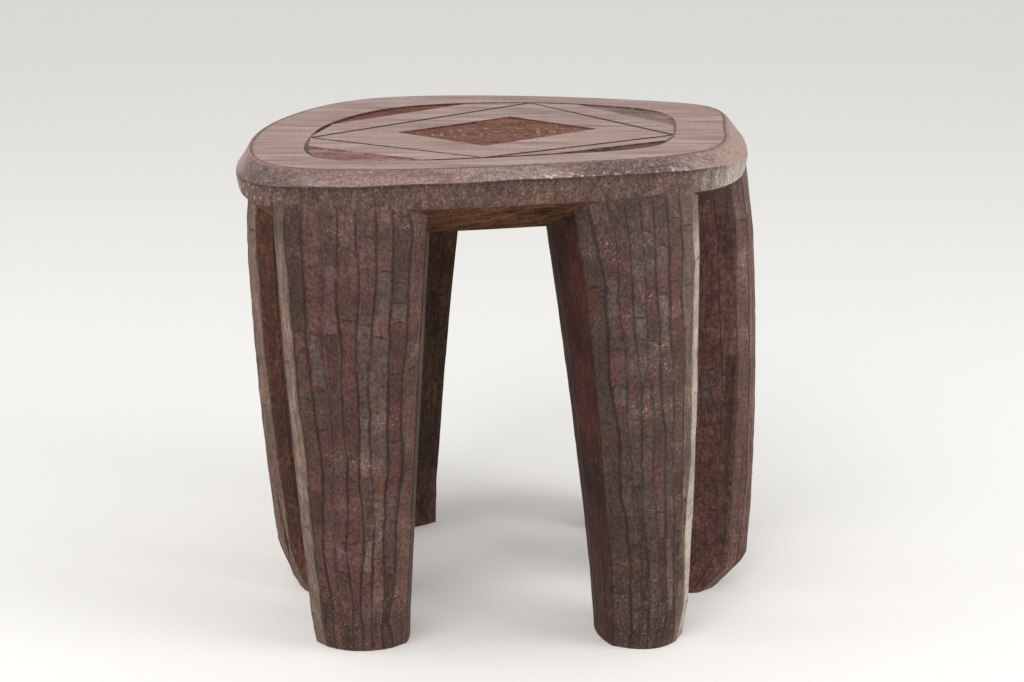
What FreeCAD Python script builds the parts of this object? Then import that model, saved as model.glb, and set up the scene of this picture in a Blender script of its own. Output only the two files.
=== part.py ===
import FreeCAD
import Part
import math
import os

# Carved wooden stool: a thick rounded-square seat on six tapering legs, all dressed with an adze.
# The real stool is cut from a single block. It is divided here where the carver's forms meet:
# the seat, and each leg, scribed to the sloping underside of the seat.
# Millimetres. +Z is up, the floor is z = 0 and the front, with the longer gap between legs, is -Y.

# Seat: height of the flat top, and the hand-cut rim at eight stations. Each has its bearing round the
# middle, anticlockwise from the right in degrees, the rim's reach there, how far in and how high the
# bevel climbs from the rim to the flat top, and the border of flat top left outside the incised ring.
seat_height = 305.0
rim_stations = {
    "right": {"bearing": 0.0, "reach": 160.0, "bevel_run": 13.0, "bevel_drop": 13.0, "border": 33.0},
    "back_right": {"bearing": 34.0, "reach": 179.0, "bevel_run": 9.0, "bevel_drop": 12.0, "border": 42.5},
    "back": {"bearing": 62.0, "reach": 156.0, "bevel_run": 8.0, "bevel_drop": 8.0, "border": 30.0},
    "back_left": {"bearing": 125.0, "reach": 166.0, "bevel_run": 8.0, "bevel_drop": 8.0, "border": 46.0},
    "left": {"bearing": 190.0, "reach": 161.0, "bevel_run": 7.0, "bevel_drop": 12.0, "border": 37.0},
    "front_left": {"bearing": 228.0, "reach": 202.0, "bevel_run": 10.0, "bevel_drop": 9.0, "border": 39.0},
    "front": {"bearing": 283.0, "reach": 151.0, "bevel_run": 10.0, "bevel_drop": 6.0, "border": 34.0},
    "front_right": {"bearing": 325.0, "reach": 166.0, "bevel_run": 10.0, "bevel_drop": 8.0, "border": 38.0},
}
rim_depth = 22.0            # flat top down to the rim's lower edge
rim_batter = 2.0            # the rim draws in this much on the way down
underside_run = 25.0        # slope under the rim, inwards
underside_drop = 18.0       # and downwards

# Carving on the top: an incised ring, four incised lines, and five sunk panels
ornament_shift = -4.0       # the ring sits a little towards the front
groove_width = 1.7
groove_depth = 1.3
panel_depth = 0.9
lozenge_width = 126.0
lozenge_depth = 118.0
lozenge_skew_ratio = 0.12
lozenge_shift = -12.0       # the middle lozenge sits nearer the front than the ring
line_corners = {"left": 199.0, "back": 79.0, "right": 345.0, "front": 266.0}   # bearings on the ring
panel_gaps = {"back_left": 30.0, "front_left": 26.0, "front_right": 13.0, "back_right": 24.0}

# Legs: a broad crowned outer side, cut corners, and sides that close in a little towards the middle
outer_flat_width = 13.0     # long adze flats across the outer side, at the top of a leg
side_flat_width = 15.0
inner_flat_width = 15.0
leg_level_step = 33.0       # height between the levels where the flats change slope
leg_top_width = 90.0
leg_top_depth = 76.0
leg_foot_width = 56.0
leg_foot_depth = 54.0
leg_inner_taper_ratio = 0.12   # how much narrower the inner side is than the outer
leg_corner_across = 8.0     # cut corners of the outer side, measured across the leg
leg_corner_along = 8.0      # and towards the middle of the stool
outer_crown_top = 4.0       # bow of the outer side in plan, under the rim
outer_crown_foot = 6.0      # and at the floor
side_crown = 2.5
inner_crown = 4.0
leg_belly = 8.0             # outward bow of the outer side at mid height
leg_proud = 0.6             # the leg stands out this much from the rim's lower edge
foot_bevel_rise = 20.0

# Each leg stands at a bearing round the seat. lean is how far the outer side comes in by the floor,
# drift how far the foot moves sideways, anticlockwise seen from above, and bevel the cut at the toe.
# slim makes a leg narrower than the common width.
legs = {
    "leg_front_left": {"bearing": 243.0, "slim": 0.0, "lean": 28.0, "drift": -2.0, "bevel": 6.0},
    "leg_front_right": {"bearing": 304.0, "slim": 8.0, "lean": -7.0, "drift": 12.0, "bevel": 3.0},
    "leg_right": {"bearing": 359.0, "slim": 4.0, "lean": -5.0, "drift": -10.0, "bevel": 15.0},
    "leg_back_right": {"bearing": 57.0, "slim": 4.0, "lean": 2.0, "drift": -15.0, "bevel": 8.0},
    "leg_back_left": {"bearing": 122.0, "slim": 2.0, "lean": 4.0, "drift": 6.0, "bevel": 8.0},
    "leg_left": {"bearing": 181.0, "slim": 4.0, "lean": 16.0, "drift": 8.0, "bevel": 8.0},
}

# Heights worked out from the sizes above
rim_bottom = seat_height - rim_depth
underside = rim_bottom - underside_drop

# Counts of flats round a leg, and of levels up it
outer_flats = round(leg_top_width / outer_flat_width)
side_flats = round(leg_top_depth / side_flat_width)
inner_flats = round(leg_top_width / inner_flat_width)
leg_levels = 1 + round((rim_bottom - foot_bevel_rise) / leg_level_step)

overcut = 5.0               # how far cutters stand above the top
far_off = 10.0 * seat_height
up = FreeCAD.Vector(0, 0, 1)


def direction(bearing):
    """Level unit vector in the direction of a bearing in degrees."""
    return FreeCAD.Vector(math.cos(math.radians(bearing)), math.sin(math.radians(bearing)), 0)


def closed_curve(points):
    """Smooth closed curve through points, with the slope at each taken from both its neighbours."""
    slopes = []
    for i, point in enumerate(points):
        back, ahead = point - points[i - 1], points[(i + 1) % len(points)] - point
        weighted = back * (ahead.Length / back.Length) + ahead * (back.Length / ahead.Length)
        slopes.append(weighted * (1.0 / (back.Length + ahead.Length)))
    curve = Part.BSplineCurve()
    curve.interpolate(
        Points=points, PeriodicFlag=True, Tangents=slopes, TangentFlags=[True] * len(points), Scale=False
    )
    return curve


def rim_curve(inset=0.0):
    """The rim's curve in plan, drawn in by inset."""
    stations = rim_stations.values()
    return closed_curve([direction(at["bearing"]) * (at["reach"] - inset) for at in stations])


def rim_top_curve():
    """Upper edge of the rim, which dips where the bevel is deep."""
    stations = rim_stations.values()
    return closed_curve([
        direction(at["bearing"]) * at["reach"] + up * (seat_height - at["bevel_drop"]) for at in stations
    ])


def flat_top_curve():
    """Edge of the flat top in plan."""
    stations = rim_stations.values()
    return closed_curve([direction(at["bearing"]) * (at["reach"] - at["bevel_run"]) for at in stations])


def ring_curve(inset=0.0):
    """Outer edge of the incised ring in plan, drawn in by inset."""
    stations = rim_stations.values()
    return closed_curve([
        direction(at["bearing"]) * (at["reach"] - at["bevel_run"] - at["border"] - inset) for at in stations
    ])


def crossing(curve, bearing):
    """Point where a ray at a bearing meets a curve in plan."""
    ray = Part.LineSegment(FreeCAD.Vector(0, 0, 0), direction(bearing) * far_off)
    hit = curve.intersectCC(ray)[0]
    return FreeCAD.Vector(hit.X, hit.Y, 0)


def wire(curve, height=0.0, shift=0.0):
    """Closed wire of a curve, lifted to a height and moved back by shift."""
    edge = curve.toShape()
    edge.translate(FreeCAD.Vector(0, shift, height))
    return Part.Wire([edge])


def prism(outline, depth):
    """Cutter of a flat outline lying depth below the seat's top and standing above it."""
    return Part.Face(outline).extrude(up * (depth + overcut))


def polygon_prism(corners, depth):
    """Cutter over a polygon given by plan points."""
    floor = FreeCAD.Vector(0, 0, seat_height - depth)
    raised = [corner + floor for corner in corners]
    return prism(Part.makePolygon(raised + raised[:1]), depth)


def seat_blank():
    """The seat before it is carved: flat top, bevel, upright rim and sloping underside."""
    sections = [
        wire(rim_curve(rim_batter + underside_run), underside),
        wire(rim_curve(rim_batter), rim_bottom),
        wire(rim_top_curve()),
        wire(flat_top_curve(), seat_height),
    ]
    return Part.makeLoft(sections, True, True)


def ring_prism(inset, depth):
    """Cutter of the ornament's field, inset from the outer edge of the incised ring."""
    return prism(wire(ring_curve(inset), seat_height - depth, ornament_shift), depth)


def ring_groove():
    """The incised ring round the ornament."""
    return ring_prism(0.0, groove_depth).cut(ring_prism(groove_width, groove_depth))


def line_ends():
    """The four corners, on the middle of the ring's groove, that the incised lines run between."""
    ring = ring_curve(groove_width / 2.0)
    shift = FreeCAD.Vector(0, ornament_shift, 0)
    return {side: crossing(ring, bearing) + shift for side, bearing in line_corners.items()}


def incised_line(start, end):
    """A straight groove from one corner to the next."""
    across = (end - start).cross(up).normalize() * (groove_width / 2.0)
    return polygon_prism([start - across, end - across, end + across, start + across], groove_depth)


def edge_panel(start, end, gap):
    """The sunk panel between the ring and a line: the part of the field beyond gap from the line."""
    outward = (end - start).cross(up).normalize()
    reach = outward * far_off
    near_start, near_end = start + outward * gap, end + outward * gap
    along = end - start
    beyond = polygon_prism(
        [near_start - along, near_end + along, near_end + along + reach, near_start - along + reach],
        panel_depth,
    )
    return ring_prism(groove_width, panel_depth).common(beyond)


def lozenge_panel():
    """The sunk lozenge in the middle."""
    half_width, half_depth = lozenge_width / 2.0, lozenge_depth / 2.0
    centre = FreeCAD.Vector(0, ornament_shift + lozenge_shift, 0)
    corners = [
        FreeCAD.Vector(-half_width, -lozenge_skew_ratio * half_depth, 0),
        FreeCAD.Vector(-lozenge_skew_ratio * half_width, -half_depth, 0),
        FreeCAD.Vector(half_width, lozenge_skew_ratio * half_depth, 0),
        FreeCAD.Vector(lozenge_skew_ratio * half_width, half_depth, 0),
    ]
    return polygon_prism([centre + corner for corner in corners], panel_depth)


def carving_cutters():
    """Every cutter of the ornament: ring, lines and panels."""
    ends = line_ends()
    sides = {
        "front_left": (ends["left"], ends["front"]),
        "front_right": (ends["front"], ends["right"]),
        "back_right": (ends["right"], ends["back"]),
        "back_left": (ends["back"], ends["left"]),
    }
    cutters = [ring_groove(), lozenge_panel()]
    for side, (start, end) in sides.items():
        cutters.append(incised_line(start, end))
        cutters.append(edge_panel(start, end, panel_gaps[side]))
    return cutters


def crowned_run(start, end, flats, crown):
    """Corners of a run of flats from start up to, but without, end, bowed out by crown."""
    bow = (end - start).cross(up).normalize() * crown
    return [
        start + (end - start) * (i / flats) + bow * (4.0 * i * (flats - i) / flats ** 2) for i in range(flats)
    ]


def leg_section(leg, height):
    """Faceted cross-section of a leg, with one corner for each of its flats."""
    rise = height / rim_bottom
    rim = rim_curve(rim_batter)
    head = crossing(rim, leg["bearing"])
    sideways = rim.tangent(rim.parameter(head))[0]
    outward = sideways.cross(up)
    half_width = (leg_foot_width + (leg_top_width - leg_foot_width) * rise - leg["slim"]) / 2.0
    half_inner = half_width * (1.0 - leg_inner_taper_ratio)
    depth = leg_foot_depth + (leg_top_depth - leg_foot_depth) * rise
    swell = leg_belly * math.sqrt(max(0.0, math.sin(math.pi * rise)))
    outer = swell - leg["lean"] * (1.0 - rise) + leg_proud
    inner = outer - depth + inner_crown
    if height < foot_bevel_rise:
        outer -= leg["bevel"] * (1.0 - height / foot_bevel_rise)
    outer_crown = outer_crown_foot + (outer_crown_top - outer_crown_foot) * rise
    shoulder = outer - outer_crown
    centre = head + sideways * leg["drift"] * (1.0 - rise) + up * height

    def place(across, out):
        return centre + sideways * across + outward * out

    outer_right = place(leg_corner_across - half_width, shoulder)
    outer_left = place(half_width - leg_corner_across, shoulder)
    side_left = place(half_width, shoulder - leg_corner_along)
    inner_left = place(half_inner, inner)
    inner_right = place(-half_inner, inner)
    side_right = place(-half_width, shoulder - leg_corner_along)
    corners = crowned_run(outer_right, outer_left, outer_flats, outer_crown)
    corners += [outer_left]
    corners += crowned_run(side_left, inner_left, side_flats, side_crown)
    corners += crowned_run(inner_left, inner_right, inner_flats, inner_crown)
    corners += crowned_run(inner_right, side_right, side_flats, side_crown)
    corners += [side_right]
    return Part.makePolygon(corners + corners[:1])


def leg_solid(leg, blank):
    """A leg lofted up through its sections and scribed to the underside of the seat."""
    heights = [0.0]
    for level in range(leg_levels):
        heights.append(foot_bevel_rise + (rim_bottom - foot_bevel_rise) * level / (leg_levels - 1.0))
    blank_leg = Part.makeLoft([leg_section(leg, height) for height in heights], True, True)
    return blank_leg.cut(blank)


def build():
    """All pieces by name, with the origin under the middle of the stool."""
    blank = seat_blank()
    pieces = {name: leg_solid(leg, blank) for name, leg in legs.items()}
    pieces["seat"] = blank.cut(Part.makeCompound(carving_cutters()))
    bounds = Part.makeCompound(list(pieces.values())).optimalBoundingBox(False, False)
    middle = FreeCAD.Vector(bounds.Center.x, bounds.Center.y, 0)
    for shape in pieces.values():
        shape.translate(-middle)
    return pieces


def main():
    os.makedirs("parts", exist_ok=True)
    for name, shape in build().items():
        solids = shape.Solids
        print(name, "solids", len(solids), "valid", shape.isValid(), "volume", round(shape.Volume))
        solids[0].exportStep(os.path.join("parts", name + ".step"))


main()
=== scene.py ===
import math
import random
from functools import partial

import bmesh
import bpy
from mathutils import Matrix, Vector, noise
from mathutils.bvhtree import BVHTree
from mathutils.geometry import intersect_point_line


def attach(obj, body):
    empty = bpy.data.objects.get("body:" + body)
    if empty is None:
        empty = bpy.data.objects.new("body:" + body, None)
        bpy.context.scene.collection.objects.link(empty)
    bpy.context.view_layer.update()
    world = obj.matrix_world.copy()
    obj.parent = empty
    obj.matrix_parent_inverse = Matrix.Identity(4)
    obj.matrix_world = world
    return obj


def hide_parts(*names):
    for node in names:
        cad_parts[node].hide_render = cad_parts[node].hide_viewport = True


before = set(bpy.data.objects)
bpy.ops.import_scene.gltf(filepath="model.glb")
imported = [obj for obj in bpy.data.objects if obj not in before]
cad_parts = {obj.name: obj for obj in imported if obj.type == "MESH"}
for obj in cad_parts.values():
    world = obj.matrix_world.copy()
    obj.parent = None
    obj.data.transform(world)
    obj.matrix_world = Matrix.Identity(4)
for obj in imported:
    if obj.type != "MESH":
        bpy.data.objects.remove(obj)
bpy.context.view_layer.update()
print("frame loaded:", ", ".join(sorted(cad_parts)))


# small helpers for working in edit mode

def onlyActive(piece):
    bpy.ops.object.select_all(action='DESELECT')
    piece.select_set(True)
    bpy.context.view_layer.objects.active = piece


def meshOf(piece):
    return bmesh.from_edit_mesh(piece.data)


def layersOf(piece, *names):
    # the mesh, then its named layers of faces, edges or points
    bm = meshOf(piece)
    parts = (bm.faces, bm.edges, bm.verts)
    groups = [kind for part in parts for kind in (part.layers.int, part.layers.float)]
    return [bm] + [next(group[name] for group in groups if name in group.keys()) for name in names]


def saveMesh(piece):
    bmesh.update_edit_mesh(piece.data)


def pickNothing(kind):
    bpy.ops.mesh.select_mode(type=kind)
    bpy.ops.mesh.select_all(action='DESELECT')


def startFromNode(nodeName, pieceName):
    # merged copy of the CAD node, left in edit mode
    piece = bpy.data.objects.new(pieceName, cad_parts[nodeName].data.copy())
    piece.data.name = pieceName
    piece.data.materials.clear()
    bpy.context.scene.collection.objects.link(piece)
    onlyActive(piece)
    bpy.ops.object.mode_set(mode='EDIT')
    bpy.ops.mesh.select_mode(type='FACE')
    bpy.ops.mesh.select_all(action='SELECT')
    bpy.ops.mesh.customdata_custom_splitnormals_clear()
    bpy.ops.mesh.remove_doubles(threshold=0.00001)
    return piece


def pickFaces(piece, wanted):
    pickNothing('FACE')
    bm = meshOf(piece)
    for face in bm.faces:
        if wanted(face):
            face.select_set(True)
    bm.select_flush_mode()
    saveMesh(piece)


def finishPiece(piece, nodeName, sharpAngle):
    bpy.ops.object.mode_set(mode='OBJECT')
    onlyActive(piece)
    bpy.ops.object.shade_smooth_by_angle(angle=math.radians(sharpAngle))
    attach(piece, "root")
    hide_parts(nodeName)
    print(piece.name, "faces", len(piece.data.polygons))


# material helpers

def hexColour(text):
    # sRGB hex to linear
    channels = [int(text[i:i + 2], 16) / 255 for i in (1, 3, 5)]
    return tuple(c / 12.92 if c <= 0.04045 else ((c + 0.055) / 1.055) ** 2.4 for c in channels) + (1.0,)


def outputOf(node):
    return next(out for out in node.outputs if out.enabled)


def addNode(tree, kind, inputs=(), **settings):
    # inputs, in order or by socket: a value, a hex colour, or an output or a node to link from
    node = tree.nodes.new("ShaderNode" + kind)
    for name, value in settings.items():
        setattr(node, name, value)
    for key, value in inputs.items() if isinstance(inputs, dict) else enumerate(inputs):
        if isinstance(value, bpy.types.Node):
            value = outputOf(value)
        if isinstance(value, bpy.types.NodeSocket):
            tree.links.new(value, node.inputs[key])
        else:
            node.inputs[key].default_value = hexColour(value) if isinstance(value, str) else value
    return node


def newFinish(name):
    finish = bpy.data.materials.new(name)
    finish.use_nodes = True
    return finish, finish.node_tree, finish.node_tree.nodes["Principled BSDF"]


def setStops(ramp, stops):
    # stops: position and colour, from the first to the last
    for end in (0, -1):
        ramp.elements[end].position, ramp.elements[end].color = stops[end][0], hexColour(stops[end][1])
    for position, colour in stops[1:-1]:
        ramp.elements.new(position).color = hexColour(colour)


def coverWood(tree, shader, wood, rough, bump, specular):
    for node, name in ((wood, "Base Color"), (rough, "Roughness"), (bump, "Normal")):
        tree.links.new(outputOf(node), shader.inputs[name])
    shader.inputs["IOR"].default_value = 1.5
    shader.inputs["Specular IOR Level"].default_value = specular


# legs: each is dressed with an adze in long flats, and every stroke leaves its own little facet

legCut = {
    "seed": 31,
    # degrees from the facing of the broad outer side, up to which a flat belongs to it or its corners, has
    # short strokes, and laps over the rim
    "outerTurn": 60,
    "shortTurn": 30,
    "lapTurn": 50,
    "sideNormal": (-0.85, 0.45),  # faces that look further down or up are the foot and the head
    "waist": 0.2,  # parts the foot from the head
    "firstBreak": (0.008, 0.040),  # height of the lowest end of a stroke
    "lastBreak": 0.010,  # and how near the top one may be
    "breakGap": (0.011, 0.044),  # height between the ends of two strokes on the broad outer side
    "sideGap": (0.045, 0.120),  # and on the corners and the other sides, which are smoother
    "breakTilt": 0.14,
    "breakArch": (0.02, 0.20),  # a stroke ends in an arch, as a share of its width
    "mergeGap": 0.0027,
    "waver": 0.0034,  # how far a line between two flats wanders sideways
    "waverLength": 0.052,
    "cornerWaver": 0.0010,
    "footStill": (0.004, 0.024),  # lines keep still below the first height and wander fully above the second
    "linePoint": 0.006,  # spacing of points along a line
    "roughen": 0.00022,
    "joinShare": 0.40,  # flats on the sides that run into their neighbour
    "joinAngle": 7,
    "lineHalf": 0.00065,  # dirty cut between two flats
    "lineDepth": 0.00022,
    # facets this wide round over by this much
    "rounding": ((0.0034, 0.0005), (0.0050, 0.0009), (0.0072, 0.0014)),
    "roundDepth": 0.00018,
    "facetTilt": 0.00024,
    "headLift": (0.0015, 0.0060),  # the head laps over the rim's lower edge, more in some places than others
    "headTuck": 0.0010,  # and ends this far inside the rim
    "columnCount": 9,
    "toneShift": 0.22,  # how far the tone jumps between strokes
    "tintShift": 0.12,
}
# facing: bearing of the broad outer side; side: how red the clockwise and anticlockwise sides are
# tints, tones: of the flats from the clockwise corner round to the anticlockwise one; bareAndLit, stain: how
# pale some of them are, worn bare and with painted sheen, and how much of the side colour they have; lines:
# how plain the cuts between them are; where these are left out, they come by chance
# light: painted fill light, how much lighter than the front ones the leg is, for legs that sit in shade;
# paintedSideFill: the same painted fill for its sides besides; sideBareAndLit: how pale its clockwise side
# is, worn and with painted sheen; sideStain: how much of the side colour its sides have; tintShift: in place
# of the usual one
legPieces = {
    "leg_front_left": {
        "facing": -92, "side": (0.9, 0.2), "light": 0.0,
        "tints": (0.40, 0.20, 0.40, 0.46, 0.30, 0.52, 0.60, 0.40, 0.50),
        "tones": (0.60, 0.46, 0.56, 0.64, 0.56, 0.56, 0.62, 0.20, 0.50),
        "bareAndLit": {0: 0.50, 8: 0.06}, "stain": {8: 0.2},
        "lines": (1.0, 0.85, 0.35, 0.80, 0.85, 0.80, 1.1, 1.1),
    },
    "leg_front_right": {
        "facing": -67, "side": (1.0, 0.5), "light": 0.0, "tintShift": 0.06, "paintedSideFill": 0.2,
        "tints": (0.64, 0.62, 0.58, 0.64, 0.52, 0.60, 0.80, 0.56, 0.50),
        "tones": (0.14, 0.16, 0.10, 0.12, 0.12, 0.14, 0.26, 0.40, 0.56),
        "bareAndLit": {7: 0.34, 8: 0.95}, "stain": {0: 0.10},
        "lines": (1.15, 0.50, 0.65, 0.45, 0.70, 0.60, 0.85, 0.25),
    },
    "leg_right": {
        "facing": -4, "side": (0.5, 0.7), "light": 0.45, "sideStain": 0.15, "paintedSideFill": 1.1,
        "tints": (0.30, 0.44, 0.28, 0.50, 0.40, 0.60, 0.30, 0.46, 0.30),
        "tones": (0.50, 0.50, 0.50, 0.50, 0.55, 0.50, 0.50, 0.50, 0.55),
        "bareAndLit": {0: 0.10, 2: 0.08, 8: 0.3}, "stain": {},
    },
    "leg_back_right": {"facing": 72, "side": (0.8, 0.8), "light": 0.2},
    "leg_back_left": {"facing": 117, "side": (0.2, 0.2), "light": 1.4, "sideBareAndLit": 0.45},
    "leg_left": {
        "facing": 173, "side": (0.5, 0.75), "light": 0.5, "paintedSideFill": 0.5,
        "tints": (0.30, 0.50, 0.30, 0.60, 0.40, 0.46, 0.30, 0.26, 0.30),
        "tones": (0.55, 0.50, 0.50, 0.50, 0.55, 0.50, 0.50, 0.50, 0.55),
        "bareAndLit": {0: 0.3, 7: 0.12, 8: 0.24}, "stain": {},
    },
}


def sectionRings(piece):
    # the cross-section at each level of the leg, with its corners in the same order all the way up
    bm = meshOf(piece)
    levels = {}
    for vert in bm.verts:
        levels.setdefault(round(vert.co.z, 4), []).append(vert.co.copy())
    corners = len(levels[0.0])
    rings, middleBelow = [], None
    for height in sorted(levels):
        ring = levels[height]
        if len(ring) != corners:
            continue
        middle = sum(ring, Vector()) / corners
        ring.sort(key=lambda c: math.atan2(c.y - middle.y, c.x - middle.x))
        if rings:
            shape = [c - middleBelow for c in rings[-1]]
            misfits = [
                sum((ring[(i + turn) % corners] - middle - shape[i]).length_squared for i in range(corners))
                for turn in range(corners)
            ]
            turn = misfits.index(min(misfits))
            ring = ring[turn:] + ring[:turn]
        rings.append(ring)
        middleBelow = middle
    return rings


def markFlats(piece):
    # numbers the long flats, by the side of the cross-section that each face lies on
    rings = sectionRings(piece)
    heights = [ring[0].z for ring in rings]
    bm = meshOf(piece)
    bm.edges.layers.int.new("stroke")
    flat = bm.faces.layers.int.new("flat")
    lowest, highest = legCut["sideNormal"]
    for face in bm.faces:
        if not lowest < face.normal.z < highest:
            face[flat] = -1  # the foot, and the head under the seat
            continue
        spot = face.calc_center_median()
        below = max(0, min(len(rings) - 2, sum(h < spot.z for h in heights) - 1))
        share = (spot.z - heights[below]) / (heights[below + 1] - heights[below])
        section = [a.lerp(b, share) for a, b in zip(rings[below], rings[below + 1])]
        gaps = []
        for i, corner in enumerate(section):
            after = section[(i + 1) % len(section)]
            foot, along = intersect_point_line(spot, corner, after)
            gaps.append((spot - (foot if 0 <= along <= 1 else corner if along < 0 else after)).length)
        face[flat] = gaps.index(min(gaps))
    saveMesh(piece)
    return len(rings[0])


def turnFlats(piece, count, facing):
    # how far each flat is turned from the broad outer side, in degrees, anticlockwise
    bm, flat = layersOf(piece, "flat")
    sums = [Vector() for _ in range(count)]
    for face in bm.faces:
        if face[flat] >= 0:
            sums[face[flat]] += face.normal * face.calc_area()
    return [(math.degrees(math.atan2(s.y, s.x)) - facing + 180) % 360 - 180 for s in sums]


def joinFlats(piece, turns, rng):
    # some neighbours on the sides become one broad flat, so the widths differ
    bm, flat = layersOf(piece, "flat")
    pairs = set()
    for edge in bm.edges:
        if len(edge.link_faces) == 2 and edge.calc_face_angle(0.0) < math.radians(legCut["joinAngle"]):
            a, b = sorted(f[flat] for f in edge.link_faces)
            if 0 <= a < b and min(abs(turns[a]), abs(turns[b])) > legCut["outerTurn"]:
                pairs.add((a, b))
    joined = set()
    for a, b in sorted(pairs):
        if a not in joined and b not in joined and rng.random() < legCut["joinShare"]:
            joined.update((a, b))
            for face in bm.faces:
                if face[flat] == b:
                    face[flat] = a
    saveMesh(piece)


def isFlat(piece, index):
    flat = layersOf(piece, "flat")[1]
    return lambda face: face[flat] == index


def cutStrokes(piece, turns, rng):
    # each flat is cut across at its own heights
    for index, turn in enumerate(turns):
        bm, flat = layersOf(piece, "flat")
        corners = [v.co.copy() for f in bm.faces if f[flat] == index for v in f.verts]
        if not corners:
            continue
        gap = legCut["breakGap" if abs(turn) < legCut["shortTurn"] else "sideGap"]
        low, high = min(c.z for c in corners), max(c.z for c in corners)
        middle = sum(corners, Vector()) / len(corners)
        height = low + rng.uniform(*legCut["firstBreak"])
        while height < high - legCut["lastBreak"]:
            pickFaces(piece, isFlat(piece, index))
            tilt = legCut["breakTilt"]
            bpy.ops.mesh.bisect(
                plane_co=(middle.x, middle.y, height),
                plane_no=(rng.uniform(-tilt, tilt), rng.uniform(-tilt, tilt), 1.0),
            )
            bm, stroke = layersOf(piece, "stroke")
            for edge in bm.edges:
                if edge.select:
                    edge[stroke] = 1
            height += rng.uniform(*gap)
    # what is left of the CAD levels and diagonals goes
    pickNothing('EDGE')
    bm, flat, stroke = layersOf(piece, "flat", "stroke")
    for edge in bm.edges:
        if len(edge.link_faces) == 2 and not edge[stroke]:
            a, b = edge.link_faces
            if a[flat] == b[flat] >= 0:
                edge.select_set(True)
    bpy.ops.mesh.dissolve_edges(use_verts=True, use_face_split=False)
    flat = layersOf(piece, "flat")[1]
    pickFaces(piece, lambda f: f[flat] >= 0)
    bpy.ops.mesh.remove_doubles(threshold=legCut["mergeGap"])


def pointLines(piece, rng):
    # points are let into the end of each stroke and lifted, so that it is rounded, and into the long lines
    bm, flat, stroke = layersOf(piece, "flat", "stroke")
    strokes = [e for e in bm.edges if e[stroke]]
    lines = [e for e in bm.edges if not e[stroke] and all(f[flat] >= 0 for f in e.link_faces)]
    for edge in strokes:
        lift = rng.uniform(*legCut["breakArch"]) * edge.calc_length()
        added = bmesh.ops.bisect_edges(bm, edges=[edge], cuts=2)
        for vert in added["geom_split"]:
            if isinstance(vert, bmesh.types.BMVert):
                vert.co.z += lift
    for edge in lines:
        cuts = int(edge.calc_length() / legCut["linePoint"])
        if cuts:
            bmesh.ops.bisect_edges(bm, edges=[edge], cuts=cuts)
    saveMesh(piece)


def waverFlats(piece, turns, seed):
    # hand work: each line wanders by itself, the corners only a little, and no flat is true
    pickNothing('VERT')
    place = {index: i for i, index in enumerate(columnOrder(turns))}
    bm, flat = layersOf(piece, "flat")
    still, free = legCut["footStill"]
    bm.normal_update()
    for vert in bm.verts:
        sides = {f[flat] for f in vert.link_faces}
        height = vert.co.z / legCut["waverLength"]
        columns = sorted(place[s] for s in sides if s in place)
        last = len(place) - 1
        if len(columns) == 2:
            lines = [columns[0]]
        else:
            lines = [c for c in (columns[0] - 1, columns[0]) if 0 <= c < last] if columns else []
        wander = 0.0
        for c in lines:
            spot = Vector((height, 7.3 * c, seed))
            wander += (noise.noise(spot) + 0.25 * noise.noise(spot * 3.7)) / len(lines)
        wander *= legCut["waver"] if len(sides - {-1}) == len(columns) else 0.0
        corner = noise.noise(vert.co / legCut["waverLength"] + Vector((seed, 0, 0)))
        along = Vector((-vert.normal.y, vert.normal.x, 0)).normalized()
        share = min(1.0, max(0.0, (vert.co.z - still) / (free - still)))
        vert.co += along * (wander + legCut["cornerWaver"] * corner) * share
        if min(sides) >= 0:
            vert.select_set(True)
    saveMesh(piece)
    bpy.ops.transform.vertex_random(offset=legCut["roughen"], seed=seed)


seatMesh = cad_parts["seat"].data
seatSurface = BVHTree.FromPolygons([v.co for v in seatMesh.vertices], [p.vertices for p in seatMesh.polygons])


def lapHead(piece, turns, seed):
    # the outer side of the head runs up over the edge of the rim and into it, so that no seam shows
    bm, flat = layersOf(piece, "flat")
    low, high = legCut["headLift"]
    for vert in bm.verts:
        sides = {f[flat] for f in vert.link_faces}
        outer = any(abs(turns[s]) < legCut["lapTurn"] for s in sides if s >= 0)
        if vert.co.z > legCut["waist"] and min(sides) < 0 and outer:
            lift = low + (high - low) * (0.5 + noise.noise(vert.co / 0.012 + Vector((0, 0, seed))))
            spot = vert.co + Vector((0, 0, max(low, lift)))
            near, outward, _, _ = seatSurface.find_nearest(spot)
            vert.co = spot - outward * max(0.0, (spot - near).dot(outward) + legCut["headTuck"])
    saveMesh(piece)


def columnOrder(turns):
    # flats of the outer side and its two corners, from the clockwise corner round
    outer = [i for i, turn in enumerate(turns) if abs(turn) < legCut["outerTurn"]]
    return sorted(outer, key=lambda i: turns[i])


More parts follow.
